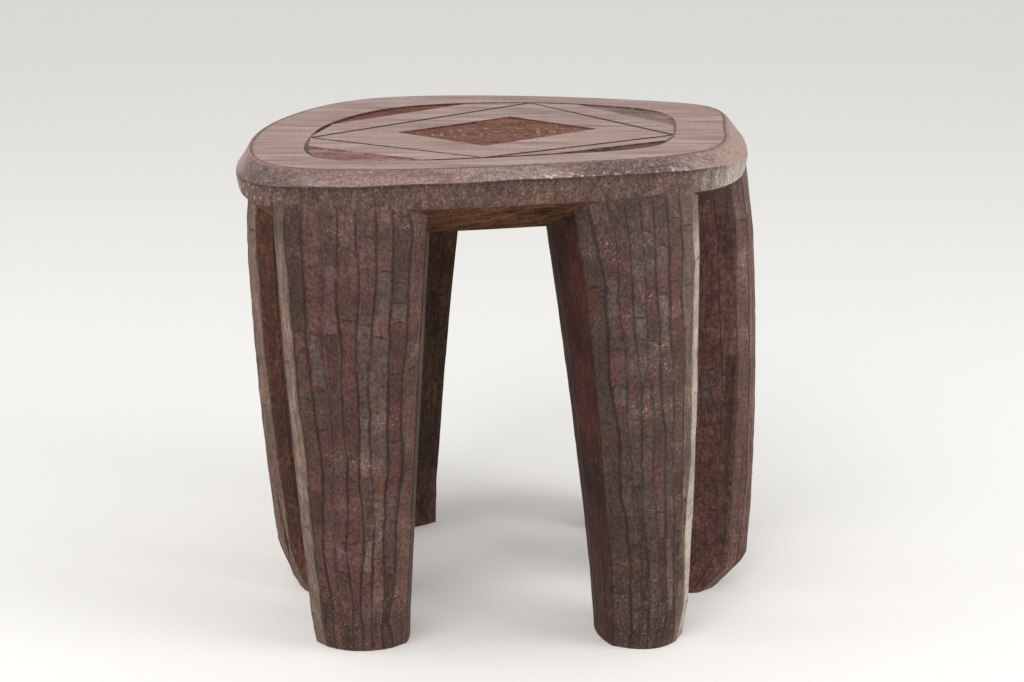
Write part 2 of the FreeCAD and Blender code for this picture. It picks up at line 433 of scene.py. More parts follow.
def lineFlats(piece, turns, lines, rng):
    # the edge of every flat becomes a dirty cut, and each facet rounds over towards its own edges
    place = {index: i for i, index in enumerate(columnOrder(turns))}
    bm = meshOf(piece)
    for name in ("tone", "tint", "hidden", "red", "bareAndLit"):
        bm.faces.layers.float.new(name)
    bm.faces.layers.int.new("facet")
    line = bm.verts.layers.float.new("line")
    flat = bm.faces.layers.int["flat"]
    for vert in bm.verts:
        sides = {f[flat] for f in vert.link_faces}
        columns = sorted(place[s] for s in sides if s in place)
        if min(sides) < 0:
            vert[line] = 0.4 if vert.co.z < legCut["waist"] else 0.0
        elif len(sides) == 1:
            vert[line] = rng.uniform(0.5, 2.0)  # the end of a stroke, halved below
        elif len(columns) == 2:
            spot = Vector((vert.co.z / 0.022, 3.1 * columns[0], 5.0))
            vert[line] = lines[columns[0]] * (1.0 + 0.6 * noise.noise(spot))
        else:
            vert[line] = 0.8
    saveMesh(piece)
    for index in range(len(turns)):
        pickFaces(piece, isFlat(piece, index))
        bpy.ops.mesh.inset(thickness=legCut["lineHalf"], depth=legCut["lineDepth"], use_even_offset=False)
        bm, line, facet = layersOf(piece, "line", "facet")
        for vert in bm.verts:
            if vert.select:
                vert[line] *= 0.5
        for face in bm.faces:
            if face.select:
                face[facet] = 1
    limits = [least for least, _ in legCut["rounding"][1:]] + [1.0]
    for (least, half), most in zip(legCut["rounding"], limits):
        _, flat, facet = layersOf(piece, "flat", "facet")
        pickFaces(piece, lambda f: f[facet] == 1 and abs(turns[f[flat]]) < legCut["outerTurn"]
                  and least <= 2 * f.calc_area() / f.calc_perimeter() < most)
        bpy.ops.mesh.inset(
            thickness=half, depth=legCut["roundDepth"], use_even_offset=False, use_individual=True
        )
        bm, line, facet = layersOf(piece, "line", "facet")
        for face in bm.faces:
            if face.select:
                face[facet] = 2
                for vert in face.verts:
                    vert[line] = 0.0


def toneFlats(piece, turns, columns, leg, rng):
    # tone and tint by flat and by facet; the sides are redder, corners are pale from wear and painted sheen,
    # and legs in shade get painted fill light
    looks = dict(zip(columnOrder(turns), columns))
    for index, turn in enumerate(turns):
        if index not in looks:
            # the clockwise side's pale share: wear and painted sheen
            worn = leg.get("sideBareAndLit", 0.0) if -150 < turn < -legCut["outerTurn"] else 0.0
            # painted fill light on the sides
            shade = rng.uniform(0.30, 0.70) + leg.get("paintedSideFill", 0.0)
            looks[index] = (rng.uniform(0.25, 0.75), shade, worn, leg.get("sideStain", 0.9))
    names = ("flat", "facet", "tone", "tint", "hidden", "red", "bareAndLit")
    bm, flat, facet, tone, tint, hidden, red, bareAndLit = layersOf(piece, *names)
    for face in bm.faces:
        index = face[flat]
        if index < 0:
            face[tone], face[tint], face[hidden], face[red] = 0.4, 0.5, 1.0, 0.5
            continue
        jitter = rng.gauss(0, 1) if face[facet] == 2 else 0.0
        face[tint] = min(1.0, max(0.0, looks[index][0] + leg.get("tintShift", legCut["tintShift"]) * jitter))
        shift = legCut["toneShift"] * rng.gauss(0, 1) * bool(jitter)
        # painted fill light: a leg in shade is made lighter as a whole
        face[tone] = max(0.0, looks[index][1] + shift + leg["light"])
        face[bareAndLit], face[hidden] = looks[index][2:]
        face[red] = leg["side"][0 if turns[index] < 0 else 1]
    saveMesh(piece)


def dressLeg(nodeName, seed):
    rng = random.Random(seed)
    leg = legPieces[nodeName]
    piece = startFromNode(nodeName, "leg" + nodeName[3:].title().replace("_", ""))
    count = markFlats(piece)
    turns = turnFlats(piece, count, leg["facing"])
    places = range(legCut["columnCount"])
    columns = [
        (rng.uniform(0.1, 0.9), rng.uniform(0.3, 0.7),
         rng.choice((0.0, 0.0, 0.3, 0.5)) if i in (0, 8) else 0.0, 0.1)
        for i in places
    ]
    if "tints" in leg:
        columns = [
            (leg["tints"][i], leg["tones"][i], leg["bareAndLit"].get(i, 0.0), leg["stain"].get(i, 0.0))
            for i in places
        ]
    lines = leg.get("lines", [rng.uniform(0.4, 1.0) for _ in places[1:]])
    joinFlats(piece, turns, rng)
    cutStrokes(piece, turns, rng)
    pointLines(piece, rng)
    waverFlats(piece, turns, seed)
    lapHead(piece, turns, seed)
    lineFlats(piece, turns, lines, rng)
    facet = layersOf(piece, "facet")[1]
    pickFaces(piece, lambda f: f[facet] == 2)
    bpy.ops.transform.vertex_random(offset=legCut["facetTilt"], normal=1.0, seed=seed)
    toneFlats(piece, turns, columns, leg, rng)
    piece.data.materials.append(stainedLegs)
    finishPiece(piece, nodeName, 11)


# Hardwood, adze dressed, stained dark and handled: nearly matt, maroon, grey and olive tints from flat to
# flat, dirt along the cuts and stroke ends, leathery speckle, corners worn down to the tan wood and painted
# pale as sheen.
legFinish = {
    # feature sizes in metres along x, y and z, with the detail
    "grains": {
        "fibre": ((0.0018, 0.0018, 0.020), 3.0),
        "speckle": ((0.0016, 0.0016, 0.0020), 4.0),
        "chatter": ((0.018, 0.018, 0.0022), 2.0),  # marks across the stroke
        "stain": ((0.026, 0.026, 0.042), 3.0),
        "ragged": ((0.0035, 0.0035, 0.0050), 4.0),
        "cluster": ((0.024, 0.024, 0.016), 2.0),
        "fleck": ((0.0014, 0.0014, 0.0014), 1.0),
    },
    "tints": (
        (0.0, "#47342a"), (0.22, "#51392f"), (0.42, "#583834"),
        (0.60, "#564641"), (0.80, "#573d2f"), (1.0, "#5e3e38"),
    ),
    "underRim": ("#3d2d28", "#614a41"),  # the head of a leg has the look of the rim above it
    "redSide": ("#381a13", "#653327"),
    "brownSide": ("#483627", "#5e4937"),
    # tan and pale: corners worn bare, and painted sheen on the corner flats
    "tan": ("#665446", "#837062"),
    "pale": "#aca092",
    "fleckColour": "#a98a80",
    "dirt": "#20130f",
}


def makeStainedLegs():
    finish, tree, shader = newFinish("stainedAdzedHardwood")
    add = partial(addNode, tree)
    where = add("TexCoord").outputs["Object"]
    tone, tint, line, hidden, red, bareAndLit = [
        add("Attribute", attribute_name=name).outputs["Fac"]
        for name in ("tone", "tint", "line", "hidden", "red", "bareAndLit")
    ]
    grain = {}
    for name, (size, detail) in legFinish["grains"].items():
        stretched = add("Mapping", {"Vector": where, "Scale": [1 / s for s in size]})
        grain[name] = add("TexNoise", {"Vector": stretched, "Scale": 1.0, "Detail": detail})

    # stain: tint of the flat, shifted by broad patches
    drift = add("MapRange", (grain["stain"], 0.3, 0.7, -0.17, 0.17))
    tinted = add("Math", (tint, drift), operation='ADD')
    stained = add("ValToRGB", {"Fac": tinted})
    setStops(stained.color_ramp, legFinish["tints"])

    # woods between a dark and a light colour: two kinds of side, worn corners and the head
    redWood, brownWood, tan, rimWood = [
        add("Mix", {
            0: add("MapRange", (grain[cause], 0.35, 0.65)),
            6: legFinish[name][0], 7: legFinish[name][1],
        }, data_type='RGBA')
        for name, cause in (
            ("redSide", "stain"), ("brownSide", "stain"), ("tan", "fibre"), ("underRim", "ragged"),
        )
    ]
    sideWood = add("Mix", {0: red, 6: brownWood, 7: redWood}, data_type='RGBA')
    wood = add("Mix", {0: hidden, 6: stained, 7: sideWood}, data_type='RGBA')

    # pale corners, worn and with painted sheen: tan, then pale
    palest = add("MapRange", (bareAndLit, 0.5, 1.0))
    tan = add("Mix", {0: palest, 6: tan, 7: legFinish["pale"]}, data_type='RGBA')
    bared = add("MapRange", (bareAndLit, 0.0, 0.55))
    patchy = add("MapRange", (grain["ragged"], 0.30, 0.50, 0.55, 1.0))
    bared = add("Math", (bared, patchy), operation='MULTIPLY')
    wood = add("Mix", {0: bared, 6: wood, 7: tan}, data_type='RGBA')

    # the head runs into the rim
    height = add("SeparateXYZ", (where,)).outputs["Z"]
    height = add("Math", (grain["ragged"], 0.030, height), operation='MULTIPLY_ADD')
    height = add("Math", (grain["stain"], 0.040, height), operation='MULTIPLY_ADD')
    head = add("MapRange", (height, 0.276, 0.312, 0.0, 0.85))
    outside = add("Math", (1.0, hidden), operation='SUBTRACT')
    head = add("Math", (head, outside), operation='MULTIPLY')
    wood = add("Mix", {0: head, 6: wood, 7: rimWood}, data_type='RGBA')

    # light and dark from stroke to stroke, and the leathery speckle
    gain = add("Math", (tone, 0.60, 0.70), operation='MULTIPLY_ADD')
    for name, spread in (("fibre", 0.14), ("chatter", 0.08), ("cluster", 0.24), ("speckle", 0.50)):
        part = add("MapRange", (grain[name], 0.30, 0.70, -spread, spread))
        if name == "speckle":  # a worn corner is smoother
            # a pale corner, worn and with painted sheen, has less speckle
            smooth = add("MapRange", (bareAndLit, 0.0, 0.5, 1.0, 0.45))
            part = add("Math", (part, smooth), operation='MULTIPLY')
        gain = add("Math", (gain, part, gain), operation='MULTIPLY_ADD')
    wood = add("VectorMath", {0: wood, "Scale": gain}, operation='SCALE')

    # clusters of bare flecks
    flecked = add("MapRange", (grain["fleck"], 0.58, 0.74, 0.0, 0.7))
    gathered = add("MapRange", (grain["cluster"], 0.55, 0.70, 0.08, 1.0))
    kicked = add("MapRange", (height, 0.060, 0.120, 0.6, 0.0))
    gathered = add("Math", (gathered, kicked), operation='MAXIMUM')
    flecked = add("Math", (flecked, gathered), operation='MULTIPLY')
    wood = add("Mix", {0: flecked, 6: wood, 7: legFinish["fleckColour"]}, data_type='RGBA')

    # dirt in the cuts, ragged and rubbed away in places
    torn = add("Math", (grain["ragged"], 1.3, -0.63), operation='MULTIPLY_ADD')
    torn = add("Math", (line, torn), operation='ADD')
    core = add("MapRange", (torn, 0.58, 0.92, 0.0, 0.95))
    rubbed = add("MapRange", (grain["cluster"], 0.36, 0.52, 1.0, 0.5))
    core = add("Math", (core, rubbed), operation='MULTIPLY')
    halo = add("MapRange", (torn, 0.04, 0.74, 0.0, 0.74))
    dirt = add("Math", (core, halo), operation='MAXIMUM')
    wood = add("Mix", {0: dirt, 6: wood, 7: legFinish["dirt"]}, data_type='RGBA')

    rough = add("MapRange", (grain["fibre"], 0.3, 0.7, 0.50, 0.68))
    relief = add("Math", (grain["chatter"], 0.6, grain["fibre"]), operation='MULTIPLY_ADD')
    relief = add("Math", (grain["speckle"], 1.2, relief), operation='MULTIPLY_ADD')
    bump = add("Bump", {"Strength": 0.7, "Distance": 0.0007, "Height": relief})
    coverWood(tree, shader, wood, rough, bump, 0.22)
    return finish


stainedLegs = makeStainedLegs()
for number, nodeName in enumerate(legPieces):
    dressLeg(nodeName, legCut["seed"] + number)


# seat: the carved flat top is kept from the frame, and the hand-cut edge is drawn out from it ring by ring

seatCut = {
    "seed": 7,
    "middle": (-0.00492, 0.00653),  # bearings of the edge are taken round this point
    "meanReach": 0.165,  # of the edge from there
    "topHeight": 0.305,
    "panelFloor": 0.3041,
    "lineFloor": 0.3037,
    "near": 0.0002,  # heights this close are one level
    "exact": 0.00006,  # and for the floor of the lines
    # heights between which the points of each edge lie
    "edges": {"rimTop": (0.2900, 0.3005), "rimLow": (0.28298, 0.28302), "under": (0.26498, 0.26502)},
    "carvedFloor": 0.3025,  # nothing carved lies lower or further out
    "carvedReach": 0.125,
    "ringReach": 0.095,  # a cut this far out belongs to the ring
    "edgeStep": 0.0040,
    "wornBand": 0.0036,
    "bevelRows": (0.10, 0.32, 0.58, 0.82, 0.94),
    "rimRows": (0.07, 0.20, 0.40, 0.60, 0.80, 0.94),
    "underRows": (0.10, 0.45, 0.80),
    "bevelFlat": (0.016, 0.036),  # adze flats on the bevel, along the edge
    "bevelUneven": 0.0007,
    "rimFlat": (0.007, 0.014),  # narrow upright flats on the rim
    "rimUneven": 0.0004,
    "arrisFlat": (0.009, 0.022),
    "arrisWander": 0.0004,
    "arrisRub": 0.0004,
    "lowWander": 0.0004,
    # bearings in degrees, as starts, full, full, ends: where bevel and rim are pale, worn and with painted
    # light, then dirt on the bevel, painted shade under the seat, chips, the arris not worn down to the pink,
    # and the ring not so dirty
    "bareAndLitEnds": ((-46, -30, 30, 46), (168, 178, 210, 218)),
    "dirtyBevel": ((-76, -68, -52, -42), (214, 220, 228, 238)),
    "shadedUnder": ((-66, -56, 40, 60), (150, 160, 216, 226)),
    "chippedArris": ((-88, -80, -50, -42),),
    "chippedRim": ((202, 210, 226, 236),),
    "darkArris": ((-91, -90, -50, -34), (222, 240, 270, 271)),
    "lineClean": ((-40, -22, 26, 40), (186, 196, 208, 218)),
    "lineFlare": 0.0012,  # the sides of the incised lines are rubbed open at the top
    "lineFill": 0.0009,  # and where they are clean they are nearly worn away
    "lineSoot": (0.9, 0.5, 0.3),  # dirt in the lines, in deep chisel strokes and beside both
    # by left and back of the middle
    "panelFinish": {(True, True): "redPanel", (True, False): "pinkPanel", (False, False): "dirtyPanel",
                    (False, True): "greyPanel"},
    # cuts that divide the floors: reach, spacing, slant and how the spacing varies
    "lozenge": {
        "middle": (-0.00492, -0.00947), "half": (0.066, 0.062), "pitch": (0.0027, 0.0048),
        "slant": (0.06, 0.06), "vary": (0.85, 1.15), "leastField": 0.7, "dotShare": 0.8,
        "dotInset": 0.00092, "dotDepth": 0.0004, "highlightRows": 0.022,
    },
    "panels": {
        "middle": (0.0, 0.0), "half": (0.135, 0.135), "pitch": (0.015, 0.0045), "slant": (0.25, 0.075),
        "vary": (0.7, 1.3), "uneven": 0.0004,
    },
}


def bearingOf(point):
    return math.atan2(point.y - seatCut["middle"][1], point.x - seatCut["middle"][0])


def roundTable(points):
    # an edge of the seat as (bearing, reach, height), in order round the middle
    middle = Vector(seatCut["middle"])
    return sorted((bearingOf(p), (p.xy - middle).length, p.z) for p in points)


def unevenTable(rng, spacing):
    # a value at the end of each flat, for a run of flats round the edge
    table, bearing = [], -math.pi
    while bearing < math.pi:
        table.append((bearing, rng.uniform(-1.0, 1.0)))
        bearing += rng.uniform(*spacing) / seatCut["meanReach"]
    return table


def lookUp(table, bearing):
    # straight line between the two entries about a bearing
    after = next((i for i, row in enumerate(table) if row[0] > bearing), len(table))
    low, high = table[after - 1], table[after % len(table)]
    span = (high[0] - low[0]) % (2 * math.pi)
    share = ((bearing - low[0]) % (2 * math.pi)) / span if span else 0.0
    return [a + (b - a) * share for a, b in zip(low[1:], high[1:])]


def shareAt(bearing, runs):
    most = 0.0
    for starts, full, fullTo, ends in runs:
        at = (math.degrees(bearing) - starts) % 360 + starts
        most = max(most, min((at - starts) / (full - starts), 1.0, (ends - at) / (ends - fullTo)))
    return most


def isPanelFloor(face):
    level = all(abs(v.co.z - seatCut["panelFloor"]) < seatCut["near"] for v in face.verts)
    return level and face.normal.z > 0.8


def inLozenge(face):
    spot, middle, half = face.calc_center_median(), seatCut["lozenge"]["middle"], seatCut["lozenge"]["half"]
    return sum(abs(spot[axis] - middle[axis]) / half[axis] for axis in (0, 1)) < 1.1


def isBevel(face):
    atTop = max(v.co.z for v in face.verts) > seatCut["topHeight"] - seatCut["exact"]
    return atTop and 0.1 < face.normal.z < 0.98


def keepTop(piece):
    # reads the edge curves off the frame's seat, then leaves only its carved top
    bm = meshOf(piece)
    sharp = {v for e in bm.edges if e.calc_face_angle(0.0) > math.radians(15) for v in e.verts}
    tables = {
        name: roundTable([v.co for v in sharp if low < v.co.z < high])
        for name, (low, high) in seatCut["edges"].items()
    }
    middle = Vector(seatCut["middle"])
    outside = lambda f: (f.calc_center_median().xy - middle).length > seatCut["carvedReach"]
    pickFaces(
        piece, lambda f: min(v.co.z for v in f.verts) < seatCut["carvedFloor"] or isBevel(f) and outside(f)
    )
    bpy.ops.mesh.delete(type='FACE')
    bm = meshOf(piece)
    tables["flatTop"] = roundTable([v.co for e in bm.edges if e.is_boundary for v in e.verts])
    return tables


def pickOpenEdge(piece, longest=0.0):
    pickNothing('EDGE')
    bm = meshOf(piece)
    for edge in bm.edges:
        if edge.is_boundary and edge.calc_length() > longest:
            edge.select_set(True)
    saveMesh(piece)


def drawOutEdge(piece, tables, rng):
    for _ in range(3):
        pickOpenEdge(piece, 1.4 * seatCut["edgeStep"])
        bpy.ops.mesh.subdivide(number_cuts=1)

    # the open edge steps back, to leave room for a worn band round the flat top
    bm = meshOf(piece)
    for name in ("wear", "dotHighlight", "dirtAndShade", "bareAndLit", "chip"):
        bm.verts.layers.float.new(name)
    bm.faces.layers.int.new("zone")
    middle = Vector(seatCut["middle"]).to_3d()
    for vert in {v for e in bm.edges if e.is_boundary for v in e.verts}:
        inward = middle - vert.co
        inward.z = 0.0
        vert.co += inward.normalized() * seatCut["wornBand"]
    saveMesh(piece)

    bevelFlats = unevenTable(rng, seatCut["bevelFlat"])
    rimFlats = unevenTable(rng, seatCut["rimFlat"])
    arrisFlats = unevenTable(rng, seatCut["arrisFlat"])
    rows = [("flatTop", "rimTop", t) for t in (0.0,) + seatCut["bevelRows"] + (1.0,)]
    rows += [("rimTop", "rimLow", t) for t in seatCut["rimRows"] + (1.0,)]
    rows += [("rimLow", "under", t) for t in seatCut["underRows"] + (1.0,)]
    rimRows = seatCut["rimRows"]
    zones = {"rimTop": 2, "rimLow": 3, "under": 4}
    pickOpenEdge(piece)
    for upper, lower, share in rows:
        bpy.ops.mesh.extrude_region_move()
        bm, wear, dirtAndShade, bareAndLit, chip, zone = layersOf(piece, "wear", "dirtAndShade", "bareAndLit", "chip", "zone")
        for vert in bm.verts:
            if not vert.select:
                continue
            for face in vert.link_faces:
                face[zone] = zones[lower] if share > 0.0 else 1
            bearing = bearingOf(vert.co)
            reachA, heightA = lookUp(tables[upper], bearing)
            reachB, heightB = lookUp(tables[lower], bearing)
            reach, height = reachA + (reachB - reachA) * share, heightA + (heightB - heightA) * share
            slope = Vector((reachB - reachA, heightB - heightA)).normalized()
            swell = math.sin(math.pi * share)
            arris = seatCut["arrisWander"] * lookUp(arrisFlats, bearing)[0]
            off = 0.0
            if lower == "rimTop":
                off = seatCut["bevelUneven"] * lookUp(bevelFlats, bearing)[0] * swell
                height += arris * share
            elif lower == "rimLow":
                off = seatCut["rimUneven"] * lookUp(rimFlats, bearing)[0] * min(1.0, 2 * swell)
                ragged = noise.noise(Vector((math.cos(bearing), math.sin(bearing), 0.0)) * 30.0)
                height += arris * (1.0 - share) + seatCut["lowWander"] * ragged * share
            arrisHere = share in (0.0, 1.0) and lower != "under"
            if arrisHere:
                off -= seatCut["arrisRub"]
            vert.co.x = seatCut["middle"][0] + math.cos(bearing) * (reach - slope.y * off)
            vert.co.y = seatCut["middle"][1] + math.sin(bearing) * (reach - slope.y * off)
            vert.co.z = height + slope.x * off
            vert[wear] = 1.0 - 0.40 * shareAt(bearing, seatCut["darkArris"]) if arrisHere else 0.0
            # the rim's first row under the bevel, the rim's lower edge and the inner edge underneath: painted
            # shade
            vert[dirtAndShade] = {("rimLow", rimRows[0]): 1.0, ("rimLow", rimRows[1]): 0.3,
                          ("rimLow", 1.0): 0.15, ("under", 1.0): 0.5}.get((lower, share), 0.0)
            # pale ends of bevel and rim: wear, and painted light
            worn = shareAt(bearing, seatCut["bareAndLitEnds"])
            if lower == "rimTop" and share > 0.0:
                vert[dirtAndShade] = 0.75 * shareAt(bearing, seatCut["dirtyBevel"])
                vert[chip] = shareAt(bearing, seatCut["chippedArris"]) * share ** 2
            elif lower == "rimLow":
                vert[dirtAndShade] *= 1.0 - 0.7 * worn
                vert[chip] = shareAt(bearing, seatCut["chippedRim"])
            elif lower == "under":
                # painted shade over the underside, front and back
                vert[dirtAndShade] = max(vert[dirtAndShade], shareAt(bearing, seatCut["shadedUnder"]))
            vert[bareAndLit] = worn if lower != "under" and share > 0.0 else 0.0
        saveMesh(piece)
    bpy.ops.mesh.edge_face_add()
    bm, zone = layersOf(piece, "zone")
    for face in bm.faces:
        if face.select:
            face[zone] = zones["under"]


def crossCut(piece, wanted, cut, rng):
    # divides a sunk floor both ways
    pickFaces(piece, wanted)
    bpy.ops.mesh.dissolve_faces()
    for axis in (0, 1):
        place = -cut["half"][axis]
        while place < cut["half"][axis]:
            pickFaces(piece, wanted)
            point, normal = [*cut["middle"], seatCut["panelFloor"]], [1.0, 1.0, 0.0]
            point[axis] += place
            normal[1 - axis] = cut["slant"][axis] * rng.uniform(-1, 1)
            bpy.ops.mesh.bisect(plane_co=point, plane_no=normal)
            place += cut["pitch"][axis] * rng.uniform(*cut["vary"])


def punchLozenge(piece, rng):
    # rows of punched dots over the floor of the middle lozenge, their pits painted pale as a painted
    # highlight
    lozenge = seatCut["lozenge"]
    wanted = lambda f: isPanelFloor(f) and inLozenge(f)
    crossCut(piece, wanted, lozenge, rng)
    room = lozenge["leastField"] * lozenge["pitch"][0] * lozenge["pitch"][1]
    pickFaces(piece, lambda f: wanted(f) and len(f.verts) == 4 and f.calc_area() > room
              and rng.random() < lozenge["dotShare"])
    bpy.ops.mesh.inset(thickness=lozenge["dotInset"], depth=-lozenge["dotDepth"], use_individual=True)
    bm, dotHighlight = layersOf(piece, "dotHighlight")
    for face in bm.faces:
        if face.select:
            off = (face.calc_center_median().y - lozenge["middle"][1]) / lozenge["highlightRows"]
            # the middle rows get the strongest painted highlight
            amount = rng.random() ** 2 * (0.2 + 0.5 * math.exp(-off * off))
            for vert in face.verts:
                vert[dotHighlight] = amount
    saveMesh(piece)


def chiselPanels(piece, rng):
    # the side panels are cleared with long chisel strokes
    wanted = lambda f: isPanelFloor(f) and not inLozenge(f)
    crossCut(piece, wanted, seatCut["panels"], rng)
    bm = meshOf(piece)
    inner = {v.index for v in bm.verts if all(wanted(f) for f in v.link_faces)}
    pickNothing('VERT')
    bm = meshOf(piece)
    bm.verts.ensure_lookup_table()
    for index in inner:
        bm.verts[index].select_set(True)
    saveMesh(piece)
    bpy.ops.transform.vertex_random(offset=seatCut["panels"]["uneven"], normal=1.0, seed=seatCut["seed"])


def ageTop(piece):
    # every face gets its finish; dirt lies in the lines, and their arrises are rubbed open
    bm, zone, dirtAndShade = layersOf(piece, "zone", "dirtAndShade")
    names = list(seatFinishes)
    top, panel, line, near = [seatCut[name] for name in ("topHeight", "panelFloor", "lineFloor", "near")]
    isLine = lambda height: abs(height - line) < seatCut["exact"]
    inLine, inStroke, beside = seatCut["lineSoot"]
    flare, crisp, worn = {}, {}, {}
    for face in bm.faces:
        lowest = min(v.co.z for v in face.verts)
        face.material_index = 0 if face[zone] == 1 else face[zone]  # 1 is the worn band round the flat top
        if face[zone] != 0 or lowest >= top - near and face.normal.z >= 0.5:
            continue
        spot = face.calc_center_median()
        left, back = spot.x < seatCut["lozenge"]["middle"][0], spot.y > seatCut["lozenge"]["middle"][1]
        finish = "clearedPanels" if inLozenge(face) else seatCut["panelFinish"][left, back]
        face.material_index = names.index(finish)
        if inLozenge(face) or lowest >= panel - near:
            continue
        # a ring or line, or a deep chisel stroke
        far = (spot.xy - Vector(seatCut["middle"])).length > seatCut["ringReach"]
        clean = shareAt(bearingOf(spot), seatCut["lineClean"]) if far else 0.0
        if clean > 0.5 and isLine(lowest):
            face.material_index = names.index("pinkPanel")
        for vert in face.verts:
            dirt = beside if abs(vert.co.z - panel) < near else inLine if isLine(lowest) else inStroke
            vert[dirtAndShade] = max(vert[dirtAndShade], dirt * (1.0 - 0.75 * clean))
            if isLine(vert.co.z):
                worn[vert] = max(worn.get(vert, 0.0), clean)
            if vert.co.z > top - near / 2 and face.normal.z < 0.5:
                flare[vert] = flare.get(vert, Vector()) - face.normal * (1.0 - 0.9 * clean)
                crisp[vert] = max(crisp.get(vert, 0.0), 1.0 - 0.9 * clean)
    for vert, clean in worn.items():
        vert.co.z += seatCut["lineFill"] * clean
    for vert, away in flare.items():
        away.z = 0.0
        vert.co += away.normalized() * seatCut["lineFlare"] * crisp[vert]
    saveMesh(piece)


def carveSeat():
    rng = random.Random(seatCut["seed"])
    piece = startFromNode("seat", "seatCarved")
    tables = keepTop(piece)
    drawOutEdge(piece, tables, rng)
    print("seat edge drawn out")
    punchLozenge(piece, rng)
    chiselPanels(piece, rng)
    print("panels cut")
    bpy.ops.mesh.select_all(action='SELECT')
    bpy.ops.mesh.normals_make_consistent(inside=False)
    for finish in seatWoods:
        piece.data.materials.append(finish)
    ageTop(piece)
    finishPiece(piece, "seat", 14)


# One hardwood in several states. The streaks are the grain, which runs from side to side of the seat; on
# the top they are drawn several mm wide, coarser than real pores, because finer ones would not show there.
# grain, fine, patchSize, fleckSize: feature sizes in metres; spread: narrower is more contrast;
# grit: fine light and dark; a finish without a colour for wear, pale worn and painted-lit ends, chips,
# painted dot highlights, or dirt and painted shade shows none
seatFinishes = {
    "weatheredTop": {  # bare wood, greyed and rubbed: dry, low sheen, soft pink and grey streaks
        "grain": (0.085, 0.0100, 0.0100), "fine": (0.034, 0.0032, 0.0032), "spread": (0.62, 0.98),
        "grit": 0.12, "colours": ("#7d6158", "#9f857c", "#b5a199"), "patch": "#a98379", "patchSize": 0.05,
        "patchShare": 0.5, "fleck": "#bdaea6", "fleckSize": 0.0016, "fleckShare": 0.12, "wear": "#ad8479",
        "wearShare": 0.85, "wearLine": "#5e372f", "rough": (0.52, 0.68), "bump": 0.0003, "specular": 0.30,
    },
    "clearedPanels": {  # chisel-cleared floors and cuts: fresher red-brown wood, dark where dirt lies
        "grain": (0.020, 0.0050, 0.0045), "fine": (0.004, 0.0022, 0.0020), "spread": (0.60, 1.00),
        "grit": 0.22, "colours": ("#4a2a20", "#6e4536", "#8c614f"), "patch": "#7c5040", "patchSize": 0.03,
        # the pale dot colour is a painted highlight in the punched pits
        "patchShare": 0.4, "fleck": "#a57d70", "fleckSize": 0.0018, "fleckShare": 0.3, "dotHighlight": "#c3a99e",
        "dirt": "#2f201a", "rough": (0.58, 0.75), "bump": 0.0006, "specular": 0.10,
    },
    "rubbedBevel": {  # cut across the arris and worn smooth: pinkish grey, finely pitted
        "grain": (0.026, 0.0090, 0.0050), "fine": (0.0024, 0.0020, 0.0020), "spread": (0.62, 0.98),
        "grit": 0.32, "colours": ("#6b5751", "#89756e", "#9f8e88"), "patch": "#9a766f", "patchSize": 0.022,
        "patchShare": 0.5, "fleck": "#c4b4ad", "fleckSize": 0.0015, "fleckShare": 0.15, "wear": "#7d675f",
        "wearShare": 0.4, "wearLine": "#7d675f", "bareAndLit": "#a3887b", "chip": "#d9cec8", "dirt": "#2f201a",
        "rough": (0.50, 0.64), "bump": 0.0004, "specular": 0.30,
    },
    "scratchedRim": {  # upright band, stained dark and scratched from top to bottom, pale flecks of bare wood
        "grain": (0.0060, 0.0060, 0.0130), "fine": (0.0015, 0.0015, 0.0034), "spread": (0.56, 1.04),
        "grit": 0.42, "colours": ("#382620", "#57423a", "#725a4e"), "patch": "#5f453d", "patchSize": 0.028,
        "patchShare": 0.5, "fleck": "#a08a7c", "fleckSize": 0.0014, "fleckShare": 0.26, "wear": "#7f6c63",
        "wearShare": 0.3, "wearLine": "#5f4a40", "bareAndLit": "#b0a59b", "chip": "#b4907f", "dirt": "#2f201a",
        "rough": (0.50, 0.68), "bump": 0.0005, "specular": 0.25,
    },
    "roughUnderside": {  # left rough and red-brown, never handled
        "grain": (0.034, 0.0045, 0.0060), "fine": (0.009, 0.0020, 0.0020), "spread": (0.64, 0.96),
        "grit": 0.34, "colours": ("#2a1a12", "#503524", "#704b32"), "patch": "#5f3d28", "patchSize": 0.03,
        "patchShare": 0.5, "fleck": "#9a6440", "fleckSize": 0.0016, "fleckShare": 0.3, "wear": "#8d6d5c",
        "wearShare": 0.3, "wearLine": "#563522", "bareAndLit": "#563522", "chip": "#9a6440", "dirt": "#2f201a",
        "rough": (0.62, 0.80), "bump": 0.0012, "specular": 0.10,
    },
}
# the panels have not aged alike
for name, colours, patch in (
    ("redPanel", ("#4e271c", "#6e3f2f", "#855341"), "#764635"),
    ("pinkPanel", ("#5f3a34", "#936a64", "#b5958f"), "#a4766f"),
    ("dirtyPanel", ("#3a2b28", "#5c4844", "#7a6762"), "#5a4340"),
    ("greyPanel", ("#604b43", "#866f66", "#9f8d85"), "#886c64"),
):
    seatFinishes[name] = {**seatFinishes["clearedPanels"], "colours": colours, "patch": patch}


